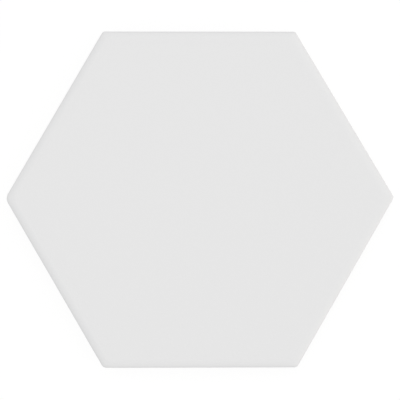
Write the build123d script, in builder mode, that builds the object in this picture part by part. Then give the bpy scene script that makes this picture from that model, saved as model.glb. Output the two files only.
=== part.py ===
"""A hexagon tile: one dry-pressed porcelain piece with a cushioned face and a honeycomb keyed back.

It lies on its back with the face up. The origin is the middle of the bedding plane, +Z is the
face's outward normal, and two of the six corners point along +X and -X. Sizes are millimetres.
"""

import os
from math import floor, radians, sqrt, tan

from build123d import *

# Plan of the face
across_flats = 101.0    # over two opposite sides
corner_radius = 1.6     # plan radius of the six corners

# Section through one side, from the face down
thickness = 9.0         # face to bedding plane
cushion_width = 2.5     # from the edge in to where the face is flat
cushion_drop = 0.8      # fall of the face over that width, along a quarter ellipse
land_height = 3.0       # upright band under the cushion, where the die held the tile square
side_draft = 4.0        # degrees that the side leans in, from the land down to the back
back_arris = 0.5        # chamfer round the bedding plane

# Honeycomb key on the back
key_depth = 0.8         # height of the ribs above the cell floors
cell_width = 8.2        # over the flats of one cell, at its mouth
cell_corner = 0.6       # cut off each corner of a cell, along either side of it
key_rib = 1.4           # width of the rib between two cells
key_draft = 30.0        # degrees that a cell's walls lean in
back_border = 3.2       # least plain rim round the honeycomb

# Heights of the bands of the side
shoulder_height = thickness - cushion_drop
land_bottom = shoulder_height - land_height

# Straight stretch of one side, between the corner arcs
side_length = across_flats / sqrt(3)
straight_length = side_length - 2 * corner_radius * tan(radians(30))

# The bedding plane is smaller than the face, by the draft and the chamfer on each side
back_apothem = across_flats / 2 - land_bottom * tan(radians(side_draft)) - back_arris

# Rings of cells round the middle one: as many as the border leaves room for
cell_pitch = cell_width + key_rib
row_step = cell_pitch * sqrt(3) / 2
cell_reach = cell_width / sqrt(3)
key_rings = floor((back_apothem - back_border - cell_reach) / row_step)


def cell_centres(rings):
    """Centres of a honeycomb with that many rings, whose own outline is a hexagon like the tile's."""
    return [
        ((column + row / 2) * cell_pitch, row * row_step)
        for row in range(-rings, rings + 1)
        for column in range(-rings, rings + 1)
        if abs(column + row) <= rings
    ]


# What the cushion takes off one side and the corner at its end: the corner of a rectangle outside
# a quarter ellipse, run straight along the side and then turned round the corner's own centre
with BuildPart() as cushion_cut:
    with BuildSketch(Plane.YZ.offset(-straight_length / 2)) as side_spandrel:
        with Locations((across_flats / 2 - cushion_width, shoulder_height)):
            Rectangle(2 * cushion_width, 2 * cushion_drop, align=Align.MIN)
            Ellipse(cushion_width, cushion_drop, mode=Mode.SUBTRACT)
    extrude(side_spandrel.sketch, amount=straight_length)

    with BuildSketch(Plane.YZ.offset(straight_length / 2)) as corner_spandrel:
        add(side_spandrel.sketch_local)
        with Locations((across_flats / 2 - corner_radius, shoulder_height)):
            Rectangle(
                corner_radius + cushion_width,
                2 * cushion_drop,
                align=Align.MIN,
                mode=Mode.INTERSECT,
            )
    corner_axis = Axis((straight_length / 2, across_flats / 2 - corner_radius, 0), (0, 0, -1))
    revolve(corner_spandrel.sketch, axis=corner_axis, revolution_arc=60)

# One cell of the key, as the stud of the punch that presses it
with BuildPart() as key_stud:
    with BuildSketch() as cell_mouth:
        RegularPolygon(cell_width / 2, 6, major_radius=False, rotation=30)
        chamfer(cell_mouth.vertices(), cell_corner)
    extrude(cell_mouth.sketch, amount=key_depth, taper=key_draft)

with BuildPart() as tile:
    # Blank: upright from the land to the face, drafted from the land down to the back
    with BuildSketch(Plane.XY.offset(land_bottom)) as outline:
        RegularPolygon(across_flats / 2, 6, major_radius=False)
        fillet(outline.vertices(), corner_radius)
    extrude(outline.sketch, amount=thickness - land_bottom)
    extrude(outline.sketch, amount=-land_bottom, taper=side_draft)
    chamfer(tile.faces().sort_by(Axis.Z)[0].edges(), back_arris)

    # Cushion round the face
    with PolarLocations(0, 6):
        add(cushion_cut.part, mode=Mode.SUBTRACT)

    # Honeycomb key in the back
    with Locations(*cell_centres(key_rings)):
        add(key_stud.part, mode=Mode.SUBTRACT)

tile.part.label = "hexagon_tile"

os.makedirs("parts", exist_ok=True)
export_step(tile.part, "parts/hexagon_tile.step")
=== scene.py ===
import math

import bpy
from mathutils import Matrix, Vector


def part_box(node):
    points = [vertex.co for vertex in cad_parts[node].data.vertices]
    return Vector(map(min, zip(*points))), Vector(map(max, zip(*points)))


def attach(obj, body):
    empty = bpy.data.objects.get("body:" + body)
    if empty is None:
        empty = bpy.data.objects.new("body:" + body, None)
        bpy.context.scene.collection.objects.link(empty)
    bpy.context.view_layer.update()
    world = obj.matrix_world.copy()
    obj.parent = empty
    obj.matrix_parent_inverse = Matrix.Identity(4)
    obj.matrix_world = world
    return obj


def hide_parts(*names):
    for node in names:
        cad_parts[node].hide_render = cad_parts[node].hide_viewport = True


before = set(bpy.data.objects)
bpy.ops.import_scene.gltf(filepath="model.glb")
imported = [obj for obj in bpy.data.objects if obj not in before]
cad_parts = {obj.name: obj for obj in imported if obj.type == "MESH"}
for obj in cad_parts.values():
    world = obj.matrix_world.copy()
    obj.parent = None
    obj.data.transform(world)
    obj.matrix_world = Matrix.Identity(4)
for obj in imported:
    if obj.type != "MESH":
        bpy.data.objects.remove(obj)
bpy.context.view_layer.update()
low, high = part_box("hexagon_tile")
mm = 0.001
scene = bpy.context.scene
print("frame loaded", [round(side / mm, 2) for side in high - low], "mm")


class Wire:                             # the end of a wire in a node tree, so maths reads as maths
    def __init__(self, board, socket):
        self.board = board
        self.socket = socket

    def out(self, name):                # another output of the same node
        return Wire(self.board, self.socket.node.outputs[name])

    def __add__(self, other):
        return self.board.maths("ADD", self, other)

    def __radd__(self, other):
        return self.board.maths("ADD", other, self)

    def __sub__(self, other):
        return self.board.maths("SUBTRACT", self, other)

    def __rsub__(self, other):
        return self.board.maths("SUBTRACT", other, self)

    def __mul__(self, other):
        return self.board.maths("MULTIPLY", self, other)

    def __rmul__(self, other):
        return self.board.maths("MULTIPLY", self, other)

    def __truediv__(self, other):
        return self.board.maths("DIVIDE", self, other)

    def __mod__(self, other):
        return self.board.maths("FLOORED_MODULO", self, other)

    def __floordiv__(self, other):      # for whole numbers, so half a step keeps it off the edge
        return self.board.maths("FLOOR", (self + 0.5) / other)

    def __gt__(self, other):
        return self.board.maths("GREATER_THAN", self, other)

    def __lt__(self, other):
        return self.board.maths("LESS_THAN", self, other)


class Board:                            # a node tree and the one way that nodes are put on it
    def __init__(self, tree):
        self.tree = tree

    def add(self, kind, settings=None, sockets=None, out=0):
        node = self.tree.nodes.new(kind)
        for name, value in (settings or {}).items():
            setattr(node, name, value)
        for name, value in (sockets or {}).items():
            parts = value if isinstance(value, list) else [value]   # a list where wires are joined
            for part in parts:
                if isinstance(part, Wire):
                    self.tree.links.new(part.socket, node.inputs[name])
                else:
                    node.inputs[name].default_value = part
        return Wire(self, node.outputs[out]) if node.outputs else None

    def isVector(self, value):
        return value.socket.type == "VECTOR" if isinstance(value, Wire) else isinstance(value, tuple)

    def maths(self, operation, a, b=None):
        given = [value for value in (a, b) if value is not None]
        vectors = [self.isVector(value) for value in given]
        if not any(vectors):
            return self.add("ShaderNodeMath", {"operation": operation}, dict(enumerate(given)))
        if operation == "MULTIPLY" and not all(vectors):
            vector, number = (a, b) if vectors[0] else (b, a)
            return self.add("ShaderNodeVectorMath", {"operation": "SCALE"}, {0: vector, "Scale": number})
        out = "Value" if operation in ("LENGTH", "DOT_PRODUCT") else "Vector"
        return self.add("ShaderNodeVectorMath", {"operation": operation}, dict(enumerate(given)), out)

    def share(self, value, start, end, smooth=False):   # 0 before start, 1 after end
        settings = {"interpolation_type": "SMOOTHSTEP" if smooth else "LINEAR", "clamp": True}
        sockets = {"Value": value, "From Min": start, "From Max": end}
        return self.add("ShaderNodeMapRange", settings, sockets)


# The tile's shape. Corners are counted from +X, anticlockwise seen from the face
tileShape = {
    "cornerRadius": [1.3 * mm, 0.8 * mm, 1.1 * mm, 2.8 * mm, 1.8 * mm, 1.4 * mm],
    "cornerDrift": [                    # how far firing drew each corner off the true hexagon
        (-0.05 * mm, 0.5 * mm), (-0.45 * mm, -0.2 * mm), (0.1 * mm, 0.0 * mm),
        (-0.185 * mm, 0.45 * mm), (0.0 * mm, 0.0 * mm), (-0.15 * mm, 0.0 * mm),
    ],
    "cornerSoftening": 0.6,             # growth of a corner's radius for each length inwards
    "cushionWidth": 2.5 * mm,
    "cushionDrop": 0.8 * mm,
    "landHeight": 3.0 * mm,
    "draftAngle": 4.0,                  # degrees
    "backArris": 0.5 * mm,
    "backMargin": 0.4 * mm,             # flat strip inside the arris
    "glazeLine": 6.7 * mm,              # height where the glaze ends on the side
    "glazeWander": 0.45 * mm,           # how far that line strays up and down
    "glazeThickness": 0.1 * mm,         # step from the glaze in to the bare body
    "glazeBead": 0.22 * mm,             # height that the step is rounded over
    "waveSize": 11.0 * mm,              # length of one wave of the glaze line
}

# The honeycomb that keys the back into its adhesive
keyShape = {
    "cellWidth": 8.2 * mm,
    "cellCorner": 0.8 * mm,
    "ribWidth": 1.4 * mm,
    "depth": 0.8 * mm,
    "wallDraft": 30.0,                  # degrees
    "lip": 0.12 * mm,                   # rounding that the wall gains at its top and foot
    "rings": 5,                         # of cells round the middle one
}

# How finely each band of the surface is divided
tileBands = {
    "face": 8,
    "cushion": 16,
    "glazedSide": 3,
    "bead": 5,
    "bareSide": 2,
    "draft": 4,
    "arris": 4,
    "margin": 1,
}
cellBands = {"rib": 1, "wall": 6, "floor": 2}
arcSteps = {"tile": 8, "cell": 4}       # straight steps round one corner
sideCuts = {"tile": 44, "cell": 0}      # cuts along one side
mergeDistance = 0.002 * mm


def newTree(name, sizes):               # a geometry tree with named inputs for the sizes
    tree = bpy.data.node_groups.new(name, "GeometryNodeTree")
    kinds = {float: "NodeSocketFloat", int: "NodeSocketInt", bpy.types.Material: "NodeSocketMaterial"}
    tree.interface.new_socket("Geometry", in_out="INPUT", socket_type="NodeSocketGeometry")
    for label, value in sizes.items():
        tree.interface.new_socket(label, in_out="INPUT", socket_type=kinds[type(value)])
    tree.interface.new_socket("Geometry", in_out="OUTPUT", socket_type="NodeSocketGeometry")
    board = Board(tree)
    entry = board.add("NodeGroupInput")
    return board, entry


def runTree(obj, tree, sizes):          # runs a tree on an object and keeps the result as a plain mesh
    modifier = obj.modifiers.new(tree.name, "NODES")
    modifier.node_group = tree
    for item in tree.interface.items_tree:
        if item.in_out == "INPUT" and item.name in sizes:
            modifier[item.identifier] = sizes[item.name]
    depsgraph = bpy.context.evaluated_depsgraph_get()
    finished = obj.evaluated_get(depsgraph)
    mesh = bpy.data.meshes.new_from_object(finished, preserve_all_data_layers=True, depsgraph=depsgraph)
    obj.modifiers.clear()
    obj.data = mesh
    return obj


# Rings of rounded hexagons, one inside the next, and the sheet of faces between them
def ringSheet(board, piece, ringCount, cornerAt, radiusAt):
    index = board.add("GeometryNodeInputIndex")
    position = board.add("GeometryNodeInputPosition")
    start = board.add("GeometryNodeMeshLine", None, {"Count": ringCount, "Offset": (0, 0, 0)})
    hexagon = board.add("GeometryNodeCurvePrimitiveCircle", {"mode": "RADIUS"}, {"Resolution": 6})
    stacked = board.add("GeometryNodeInstanceOnPoints", None, {"Points": start, "Instance": hexagon})
    rings = board.add("GeometryNodeRealizeInstances", None, {"Geometry": stacked})

    ring, corner = index // 6, index % 6
    sockets = {"Geometry": rings, "Position": cornerAt(ring, corner)}
    placed = board.add("GeometryNodeSetPosition", None, sockets)
    sockets = {
        "Curve": placed,
        "Count": arcSteps[piece],
        "Radius": radiusAt(ring, corner),
        "Limit Radius": True,
    }
    rounded = board.add("GeometryNodeFilletCurve", {"mode": "POLY"}, sockets)
    arcPoints = arcSteps[piece] + 1
    endsArc = index % arcPoints > arcSteps[piece] - 0.5
    sockets = {"Curve": rounded, "Cuts": endsArc * sideCuts[piece]}
    divided = board.add("GeometryNodeSubdivideCurve", None, sockets)

    around = 6 * (arcPoints + sideCuts[piece])
    grid = board.add("GeometryNodeMeshGrid", None, {"Vertices X": around + 1, "Vertices Y": ringCount})
    ring, column = index % ringCount, index // ringCount
    spot = board.add(
        "GeometryNodeSampleIndex",
        {"data_type": "FLOAT_VECTOR", "domain": "POINT"},
        {"Geometry": divided, "Value": position, "Index": ring * around + column % around},
    )
    facing = board.add("GeometryNodeFlipFaces", None, {"Mesh": grid})
    return facing, ring, spot


# How far a ring has come through each band of a section, from 0 to 1
def bandShares(board, ring, bands):
    shares, start = {}, 0
    for name, count in bands.items():
        shares[name] = board.share(ring, start, start + count)
        start += count
    return shares


# Sine and cosine of that share of a right angle
def quarterTurn(board, share):
    angle = share * (math.pi / 2)
    return board.maths("SINE", angle), board.maths("COSINE", angle)


# Face, cushion, side and arris
def tileSkin(board, entry):
    position = board.add("GeometryNodeInputPosition")

    def drawnCorner(corner):
        return board.add(
            "GeometryNodeSampleIndex",
            {"data_type": "FLOAT_VECTOR", "domain": "POINT"},
            {"Geometry": entry, "Value": position, "Index": corner},
        )

    def inset(ring):
        share = bandShares(board, ring, tileBands)
        cushionSine, _ = quarterTurn(board, share["cushion"])
        _, arrisCosine = quarterTurn(board, share["arris"])
        bead = board.share(share["bead"], 0, 1, smooth=True)
        return (
            entry.out("Cushion Width") * (1 - cushionSine)
            + entry.out("Glaze Thickness") * bead
            + entry.out("Draft Run") * share["draft"]
            + entry.out("Back Arris") * (1 - arrisCosine)
            + entry.out("Back Margin") * share["margin"]
        )

    def cornerAt(ring, corner):
        here = drawnCorner(corner)
        back = board.maths("NORMALIZE", drawnCorner((corner + 5) % 6) - here)
        ahead = board.maths("NORMALIZE", drawnCorner((corner + 1) % 6) - here)
        spread = board.maths("LENGTH", board.maths("CROSS_PRODUCT", back, ahead))
        return here + (back + ahead) * (inset(ring) / spread)

    def radiusAt(ring, corner):
        name = {"Name": "cornerRadius"}
        radius = board.add("GeometryNodeInputNamedAttribute", {"data_type": "FLOAT"}, name)
        drawn = board.add(
            "GeometryNodeSampleIndex",
            {"data_type": "FLOAT", "domain": "POINT"},
            {"Geometry": entry, "Value": radius, "Index": corner},
        )
        return drawn + inset(ring) * entry.out("Corner Softening")

    ringCount = sum(tileBands.values()) + 1
    grid, ring, spot = ringSheet(board, "tile", ringCount, cornerAt, radiusAt)
    share = bandShares(board, ring, tileBands)
    _, cushionCosine = quarterTurn(board, share["cushion"])
    arrisSine, _ = quarterTurn(board, share["arris"])
    wave = board.add(
        "ShaderNodeTexNoise",
        {"noise_dimensions": "3D"},
        {"Vector": spot, "Scale": 1 / tileShape["waveSize"], "Detail": 3.0, "Roughness": 0.55},
        "Fac",
    )
    glazeEnd = entry.out("Glaze Line") + (wave - 0.5) * 2 * entry.out("Glaze Wander")
    shoulder = entry.out("Thickness") - entry.out("Cushion Drop")
    landFoot = shoulder - entry.out("Land Height")
    height = (
        entry.out("Thickness")
        - entry.out("Cushion Drop") * (1 - cushionCosine)
        - (shoulder - glazeEnd) * share["glazedSide"]
        - entry.out("Glaze Bead") * share["bead"]
        - (glazeEnd - entry.out("Glaze Bead") - landFoot) * share["bareSide"]
        - (landFoot - entry.out("Back Arris")) * share["draft"]
        - entry.out("Back Arris") * arrisSine
    )
    upright = board.add("ShaderNodeCombineXYZ", None, {"Z": height})
    sockets = {"Geometry": grid, "Position": spot * share["face"] + upright}
    placed = board.add("GeometryNodeSetPosition", None, sockets)
    return board.add(
        "GeometryNodeStoreNamedAttribute",
        {"data_type": "FLOAT", "domain": "POINT"},
        {"Geometry": placed, "Name": "glaze", "Value": 1 - share["bead"]},
    )


# One cell of the honeycomb, and its copies over the back
def honeycomb(board, entry):
    index = board.add("GeometryNodeInputIndex")
    pitch = entry.out("Cell Pitch")
    wallStart = entry.out("Rib Width") * 0.5 - entry.out("Cell Lip")
    wallRun = entry.out("Wall Run") + entry.out("Cell Lip") * 2

    def inset(ring):
        share = bandShares(board, ring, cellBands)
        return wallStart * share["rib"] + wallRun * share["wall"]

    def cornerAt(ring, corner):
        turn = (corner + 0.5) * math.radians(60)
        reach = (pitch * 0.5 - inset(ring)) / math.cos(math.radians(30))
        sockets = {"X": board.maths("COSINE", turn) * reach, "Y": board.maths("SINE", turn) * reach}
        return board.add("ShaderNodeCombineXYZ", None, sockets)

    def radiusAt(ring, corner):         # the outermost ring keeps its corners all but sharp
        wanted = entry.out("Cell Corner") * bandShares(board, ring, cellBands)["rib"]
        return board.maths("MAXIMUM", wanted, mergeDistance / 4)

    ringCount = sum(cellBands.values()) + 1
    grid, ring, spot = ringSheet(board, "cell", ringCount, cornerAt, radiusAt)
    share = bandShares(board, ring, cellBands)
    rise = entry.out("Cell Depth") * board.share(share["wall"], 0, 1, smooth=True)
    upright = board.add("ShaderNodeCombineXYZ", None, {"Z": rise})
    sockets = {"Geometry": grid, "Position": spot * (1 - share["floor"]) + upright}
    cell = board.add("GeometryNodeSetPosition", None, sockets)

    rows = keyShape["rings"] * 2 + 1
    plot = board.add("GeometryNodeMeshGrid", None, {"Vertices X": rows, "Vertices Y": rows})
    column = index // rows - keyShape["rings"]
    row = index % rows - keyShape["rings"]
    sockets = {"X": (column + row * 0.5) * pitch, "Y": row * pitch * math.cos(math.radians(30))}
    centre = board.add("ShaderNodeCombineXYZ", None, sockets)
    outside = board.maths("ABSOLUTE", column + row) > keyShape["rings"] + 0.5
    spread = board.add("GeometryNodeSetPosition", None, {"Geometry": plot, "Position": centre})
    sockets = {"Geometry": spread, "Selection": outside}
    centres = board.add("GeometryNodeDeleteGeometry", {"domain": "POINT"}, sockets)
    cells = board.add("GeometryNodeInstanceOnPoints", None, {"Points": centres, "Instance": cell})
    return board.add("GeometryNodeRealizeInstances", None, {"Geometry": cells})


def joined(board, *parts):              # one geometry with its doubles merged
    whole = board.add("GeometryNodeJoinGeometry", None, {"Geometry": list(reversed(parts))})
    return board.add("GeometryNodeMergeByDistance", None, {"Geometry": whole, "Distance": mergeDistance})


# The plain rim of the back, from the arris in to the outer cells
def backRim(board, shell):
    faces = board.add("GeometryNodeInputMeshEdgeNeighbors", None, None, "Face Count")
    edge = board.add("GeometryNodeMeshToCurve", None, {"Mesh": shell, "Selection": faces < 1.5})
    rim = board.add("GeometryNodeFillCurve", {"mode": "TRIANGLES"}, {"Curve": edge})
    return board.add("GeometryNodeFlipFaces", None, {"Mesh": rim})


def makeTile(material):
    side = (high.y - low.y) / math.sqrt(3)
    corners = []
    for number, (driftX, driftY) in enumerate(tileShape["cornerDrift"]):
        turn = math.radians(60 * number)
        corners.append((side * math.cos(turn) + driftX, side * math.sin(turn) + driftY, 0.0))
    outline = bpy.data.meshes.new("hexTile")
    outline.from_pydata(corners, [], [])
    radii = outline.attributes.new("cornerRadius", "FLOAT", "POINT")
    radii.data.foreach_set("value", tileShape["cornerRadius"])
    obj = bpy.data.objects.new("hexTile", outline)
    scene.collection.objects.link(obj)

    landFoot = high.z - tileShape["cushionDrop"] - tileShape["landHeight"]
    draftHeight = landFoot - tileShape["backArris"]
    sizes = {
        "Thickness": high.z,
        "Corner Softening": tileShape["cornerSoftening"],
        "Cushion Width": tileShape["cushionWidth"],
        "Cushion Drop": tileShape["cushionDrop"],
        "Land Height": tileShape["landHeight"],
        "Draft Run": draftHeight * math.tan(math.radians(tileShape["draftAngle"])),
        "Back Arris": tileShape["backArris"],
        "Back Margin": tileShape["backMargin"],
        "Glaze Line": tileShape["glazeLine"],
        "Glaze Wander": tileShape["glazeWander"],
        "Glaze Thickness": tileShape["glazeThickness"],
        "Glaze Bead": tileShape["glazeBead"],
        "Cell Pitch": keyShape["cellWidth"] + keyShape["ribWidth"],
        "Cell Corner": keyShape["cellCorner"],
        "Cell Depth": keyShape["depth"],
        "Cell Lip": keyShape["lip"],
        "Rib Width": keyShape["ribWidth"],
        "Wall Run": keyShape["depth"] * math.tan(math.radians(keyShape["wallDraft"])),
        "Material": material,
    }
    board, entry = newTree("hexTileForm", sizes)
    skin = tileSkin(board, entry)
    key = honeycomb(board, entry)
    shell = joined(board, skin, key)
    closed = joined(board, shell, backRim(board, shell))
    whole = board.add("GeometryNodeRealizeInstances", None, {"Geometry": closed})
    smooth = board.add("GeometryNodeSetShadeSmooth", None, {"Geometry": whole})
    sockets = {"Geometry": smooth, "Material": entry.out("Material")}
    painted = board.add("GeometryNodeSetMaterial", None, sockets)
    board.add("NodeGroupOutput", None, {"Geometry": painted})
    return runTree(obj, board.tree, sizes)


# Matt white glaze over a bare porcelain body, with kiln wash on the ribs that the tile was fired on
glazeFinish = {
    "white": (0.79, 0.79, 0.79),
    "roughness": 0.5,
    "cloudSize": 11.0 * mm,             # faint lighter and darker patches
    "cloud": 0.004,
    "cloudSheen": 0.12,                 # how far they change the roughness
    "crystalSize": 0.16 * mm,           # fine matt crystals, in colour and in height
    "sugar": 0.04,
    "tooth": 0.008 * mm,
    "peelSize": 1.1 * mm,               # eggshell texture, in height and in sheen
    "peel": 0.014 * mm,
    "peelSheen": 0.08,
    "fraySize": 0.4 * mm,               # grain of the glaze's lower edge
    "fray": 0.5,
    "edge": (0.35, 0.65),               # share of the bead where glaze gives way to body
    "mist": 0.45,                       # spray left on the side under the glaze line
    "mistReach": 1.8 * mm,
    "mistSize": 3.5 * mm,
    "mistWander": 3.0 * mm,
    "dropletSize": 0.7 * mm,
    "droplets": (0.3, 0.6),             # from no spray to full spray, in the noise that scatters it
}
bodyFinish = {
    "clay": (0.76, 0.735, 0.69),
    "grit": (0.67, 0.64, 0.59),
    "tone": (0.40, 0.60),               # from grit to clay, in the sum of the three below
    "grainSize": 0.28 * mm,
    "grainShare": 0.35,
    "grain": 0.02 * mm,                 # height of grain and drag lines
    "dragWidth": 0.5 * mm,              # upright lines that the die left on the sides
    "dragStretch": 0.04,
    "dragShare": 0.25,
    "granuleSize": 2.2 * mm,            # of the pressed powder
    "granuleShare": 0.4,
    "roughness": 0.85,
    "speck": (0.34, 0.27, 0.20),        # iron in the clay
    "speckSpacing": 2.6 * mm,
    "speckRadius": (0.117 * mm, 0.195 * mm),    # of its dark middle and of its soft edge
    "speckCover": 0.7,
}
washFinish = {
    "white": (0.80, 0.795, 0.78),
    "cover": 0.6,
    "reach": (0.05 * mm, 0.25 * mm),    # up the ribs from their tops, full and faded out
    "patchSize": 6.0 * mm,
    "patches": (0.38, 0.62),            # from bare to covered, in the noise that spreads it
}


def glazedPorcelain():
    material = bpy.data.materials.new("glazedPorcelain")
    material.use_nodes = True
    material.node_tree.nodes.clear()
    board = Board(material.node_tree)
    spot = board.add("ShaderNodeTexCoord", None, None, "Object")
    height = board.add("ShaderNodeSeparateXYZ", None, {0: spot}, "Z")
    glaze = board.add("ShaderNodeAttribute", {"attribute_name": "glaze"}, None, "Fac")

    def noise(grainSize, detail=2.0, vector=spot):
        sockets = {"Vector": vector, "Scale": 1 / grainSize, "Detail": detail}
        return board.add("ShaderNodeTexNoise", {"noise_dimensions": "3D"}, sockets, "Fac")

    def mixed(factor, first, second):   # 6, 7 and 2 are the colour sockets
        settings = {"data_type": "RGBA", "blend_type": "MIX"}
        return board.add("ShaderNodeMix", settings, {0: factor, 6: first, 7: second}, 2)

    def colour(rgb, level=1.0):
        return tuple(level * part for part in rgb) + (1.0,)

    # Glaze
    cloud = noise(glazeFinish["cloudSize"])
    crystals = noise(glazeFinish["crystalSize"])
    peel = noise(glazeFinish["peelSize"])
    white = glazeFinish["white"]
    swing = glazeFinish["cloud"] + glazeFinish["sugar"]
    cloudShare = glazeFinish["cloud"] / swing
    shade = cloud * cloudShare + crystals * (1 - cloudShare)
    glazeColour = mixed(shade, colour(white, 1 - swing), colour(white, 1 + swing))
    glazeRelief = peel * glazeFinish["peel"] + crystals * glazeFinish["tooth"]
    sheen = (cloud - 0.5) * glazeFinish["cloudSheen"] + (peel - 0.5) * glazeFinish["peelSheen"]
    glazeRoughness = glazeFinish["roughness"] + sheen

    # Bare body, with its specks
    sockets = {"Vector": spot, "Scale": (1.0, 1.0, bodyFinish["dragStretch"])}
    drawn = board.add("ShaderNodeMapping", None, sockets)
    drag = noise(bodyFinish["dragWidth"], 3.0, drawn)
    grains = noise(bodyFinish["grainSize"], 3.0)
    granules = noise(bodyFinish["granuleSize"], 4.0)
    tone = (
        grains * bodyFinish["grainShare"]
        + drag * bodyFinish["dragShare"]
        + granules * bodyFinish["granuleShare"]
    )
    powder = board.share(tone, *bodyFinish["tone"])
    bodyColour = mixed(powder, colour(bodyFinish["grit"]), colour(bodyFinish["clay"]))
    bodyRelief = (grains + drag) * (bodyFinish["grain"] / 2)
    spacing = bodyFinish["speckSpacing"]
    sockets = {"Vector": spot, "Scale": 1 / spacing, "Randomness": 1.0}
    apart = board.add("ShaderNodeTexVoronoi", {"feature": "F1"}, sockets, "Distance") * spacing
    specks = (1 - board.share(apart, *bodyFinish["speckRadius"])) * bodyFinish["speckCover"]
    bodyColour = mixed(specks, bodyColour, colour(bodyFinish["speck"]))

    # Glaze mist on the side, and kiln wash on the back
    strayed = height + (noise(glazeFinish["mistSize"], 4.0) - 0.5) * glazeFinish["mistWander"]
    mistFoot = tileShape["glazeLine"] - glazeFinish["mistReach"]
    mist = board.share(strayed, mistFoot, tileShape["glazeLine"], smooth=True)
    droplets = board.share(noise(glazeFinish["dropletSize"]), *glazeFinish["droplets"])
    bodyColour = mixed(mist * droplets * glazeFinish["mist"], bodyColour, colour(white))
    rested = 1 - board.share(height, *washFinish["reach"])
    patches = board.share(noise(washFinish["patchSize"], 5.0), *washFinish["patches"])
    bodyColour = mixed(rested * patches * washFinish["cover"], bodyColour, colour(washFinish["white"]))

    # Both, on either side of the glaze's lower edge
    fray = (noise(glazeFinish["fraySize"]) - 0.5) * glazeFinish["fray"]
    glazed = board.share(glaze + fray, *glazeFinish["edge"])
    relief = bodyRelief * (1 - glazed) + glazeRelief * glazed
    sockets = {"Strength": 1.0, "Distance": 1.0, "Height": relief}
    normal = board.add("ShaderNodeBump", None, sockets, "Normal")
    roughness = bodyFinish["roughness"] * (1 - glazed) + glazeRoughness * glazed
    sockets = {
        "Base Color": mixed(glazed, bodyColour, glazeColour),
        "Roughness": roughness,
        "Normal": normal,
        "IOR": 1.5,
    }
    shader = board.add("ShaderNodeBsdfPrincipled", None, sockets)
    board.add("ShaderNodeOutputMaterial", None, {"Surface": shader})
    return material


hexTile = makeTile(glazedPorcelain())
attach(hexTile, "root")
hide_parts("hexagon_tile")
print("tile made", len(hexTile.data.vertices), "vertices", len(hexTile.data.polygons), "faces")


# White studio: an even fill, a lamp overhead, a low one at the right, and a floor that takes a shadow
studio = {
    "floorSize": 3.0,
    "floorBounce": 0.40,                # how much light the floor throws back on the tile
    "floorGlow": 0.90,                  # light of its own that the camera sees on the floor
    "floorShade": 0.115,                # part of the floor's white that a shadow can take away
    "fill": 0.733,
    "fillTint": (0.994, 0.995, 1.0, 1.0),
}

# Lift above the floor, turn from +X and spread, in degrees
lamps = {
    "softbox": {"lift": 75.0, "turn": 95.0, "spread": 60.0, "power": 0.69, "tint": (1.0, 1.0, 1.0)},
    "sideStrip": {"lift": 9.0, "turn": -8.0, "spread": 16.0, "power": 0.70, "tint": (1.0, 0.94, 0.86)},
}


def seenDirectly(board):                # 1 where the camera, a reflection or glass looks at it
    path = board.add("ShaderNodeLightPath", None, None, "Is Camera Ray")
    either = board.maths("MAXIMUM", path, path.out("Is Glossy Ray"))
    return board.maths("MAXIMUM", either, path.out("Is Transmission Ray"))


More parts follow.
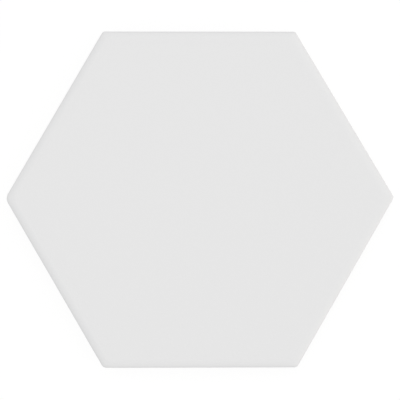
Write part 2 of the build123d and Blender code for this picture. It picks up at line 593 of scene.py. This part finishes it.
def makeFloor():
    half = studio["floorSize"] / 2
    mesh = bpy.data.meshes.new("floor")
    spots = [(-half, -half, 0), (half, -half, 0), (half, half, 0), (-half, half, 0)]
    mesh.from_pydata(spots, [], [(0, 1, 2, 3)])
    material = bpy.data.materials.new("floorWhite")
    material.use_nodes = True
    material.node_tree.nodes.clear()
    board = Board(material.node_tree)
    plain = board.add("ShaderNodeBsdfDiffuse", None, {"Color": (studio["floorBounce"],) * 3 + (1.0,)})
    shade = board.add("ShaderNodeBsdfDiffuse", None, {"Color": (studio["floorShade"],) * 3 + (1.0,)})
    glow = board.add("ShaderNodeEmission", None, {"Strength": studio["floorGlow"]})
    shown = board.add("ShaderNodeAddShader", None, {0: glow, 1: shade})
    mix = board.add("ShaderNodeMixShader", None, {0: seenDirectly(board), 1: plain, 2: shown})
    board.add("ShaderNodeOutputMaterial", None, {"Surface": mix})
    mesh.materials.append(material)
    floor = bpy.data.objects.new("floor", mesh)
    scene.collection.objects.link(floor)


def makeLight():
    world = bpy.data.worlds.new("studio")
    scene.world = world
    world.use_nodes = True
    world.node_tree.nodes.clear()
    board = Board(world.node_tree)
    sockets = {"Color": studio["fillTint"], "Strength": studio["fill"]}
    fill = board.add("ShaderNodeBackground", None, sockets)
    white = board.add("ShaderNodeBackground", None, {"Color": (1.0, 1.0, 1.0, 1.0), "Strength": 1.0})
    mix = board.add("ShaderNodeMixShader", None, {0: seenDirectly(board), 1: fill, 2: white})
    board.add("ShaderNodeOutputWorld", None, {"Surface": mix})

    for name, lamp in lamps.items():
        light = bpy.data.lights.new(name, "SUN")
        light.energy = lamp["power"]
        light.color = lamp["tint"]
        light.angle = math.radians(lamp["spread"])
        lift, turn = math.radians(lamp["lift"]), math.radians(lamp["turn"])
        aim = Vector((math.cos(lift) * math.cos(turn), math.cos(lift) * math.sin(turn), math.sin(lift)))
        stand = bpy.data.objects.new(name, light)
        stand.location = aim
        stand.rotation_euler = aim.to_track_quat("Z", "Y").to_euler()
        scene.collection.objects.link(stand)


# Camera straight above the face
view = {
    "lens": 100.0,
    "sensor": 36.0,
    "reach": 333.75 * mm,               # from the widest part of the tile up to the lens
    "offset": (0.0 * mm, -0.17 * mm),
    "roll": -0.137,                     # degrees
}


def makeCamera():
    data = bpy.data.cameras.new("overhead")
    data.lens = view["lens"]
    data.sensor_width = view["sensor"]
    camera = bpy.data.objects.new("overhead", data)
    camera.location = (*view["offset"], high.z - tileShape["cushionDrop"] + view["reach"])
    camera.rotation_euler = (0.0, 0.0, math.radians(view["roll"]))
    scene.collection.objects.link(camera)
    scene.camera = camera


makeFloor()
makeLight()
makeCamera()
scene.view_settings.view_transform = "Standard"
print("studio set")
